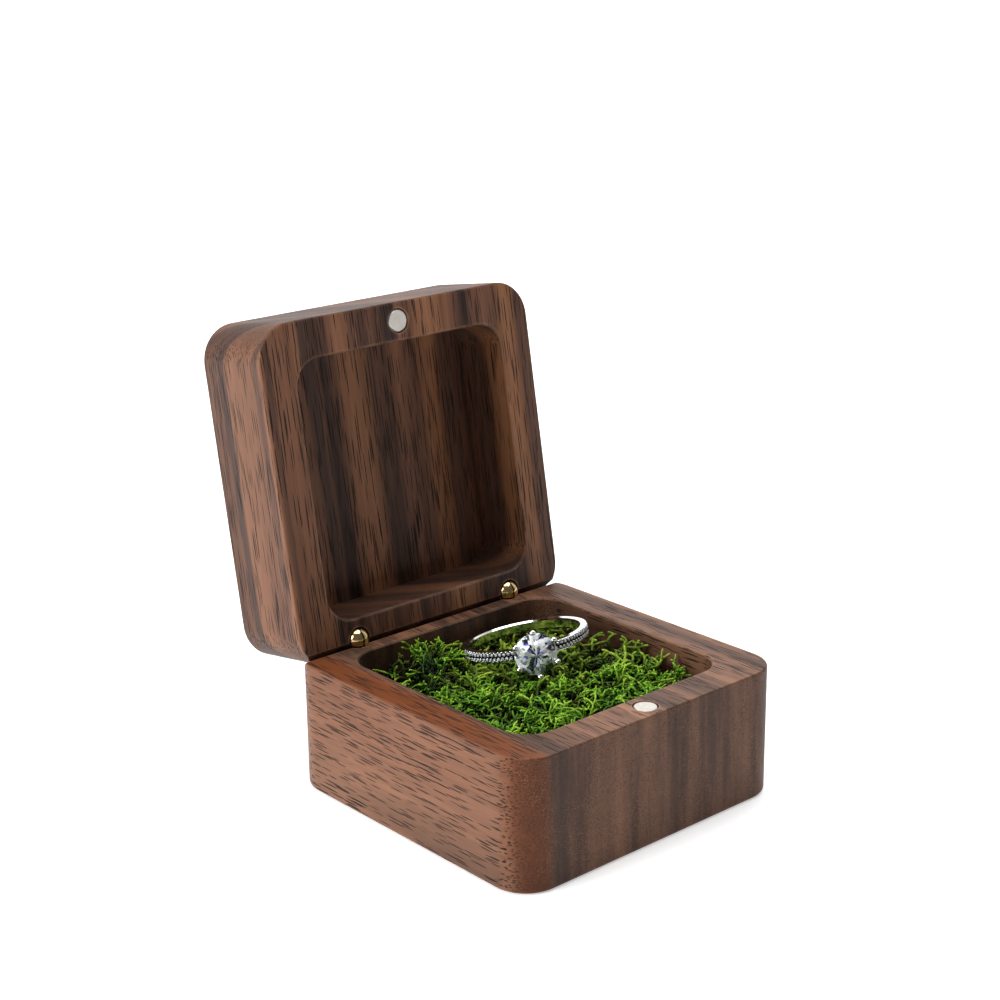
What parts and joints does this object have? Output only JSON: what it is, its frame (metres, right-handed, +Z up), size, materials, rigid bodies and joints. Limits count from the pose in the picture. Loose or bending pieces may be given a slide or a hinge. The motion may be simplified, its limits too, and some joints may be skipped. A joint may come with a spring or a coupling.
{
  "type": "ring box",
  "caption": "Square walnut ring box with a hinged, magnet-closed lid, standing open, with a bed of preserved moss and a solitaire ring lying on it.",
  "frame": {"origin": "centre of the base's underside, on the surface the box stands on", "axes": "+Z up, -Y towards the front where the magnets are, +Y towards the hinges, +X to the right seen from the front; the lid stands open at rest"},
  "size_m": [0.058, 0.0802, 0.0777],
  "materials": {
    "walnut_base": "satin oiled walnut, pink-brown long grain at the sides, darker end grain at front and back",
    "walnut_lid": "satin oiled walnut, straight streaks from front to back",
    "nickel": "dull nickel plate",
    "brass": "polished",
    "moss_fine": "finely branched preserved reindeer moss, deep green",
    "moss_coarse": "coarser branched preserved reindeer moss, yellow green",
    "silver": "polished white metal",
    "stone": "clear brilliant-cut stone"
  },
  "bodies": {
    "base": {"base_shell": "walnut_base", "base_magnet": "nickel", "left_hinge_base_barrel": "brass", "left_hinge_pin": "brass", "right_hinge_base_barrel": "brass", "right_hinge_pin": "brass", "moss_left": "moss_fine", "moss_front": "moss_fine", "moss_centre": "moss_coarse", "moss_right": "moss_coarse"},
    "lid": {"lid_shell": "walnut_lid", "lid_magnet": "nickel", "left_hinge_lid_barrel": "brass", "right_hinge_lid_barrel": "brass"},
    "ring": {"ring_band": "silver", "ring_head": "silver", "centre_stone": "stone", "left_shoulder_stones": "stone", "right_shoulder_stones": "stone"}
  },
  "joints": [
    {"name": "lid_hinge", "type": "hinge", "parent": "base", "child": "lid", "pos_m": [0, 0.026, 0.0234], "axis": [1, 0, 0], "range_deg": [0, 99.6]},
    {"name": "ring_lift", "type": "slide", "parent": "base", "child": "ring", "axis": [0, 0, 1], "range_m": [0, 0.0055]}
  ]
}
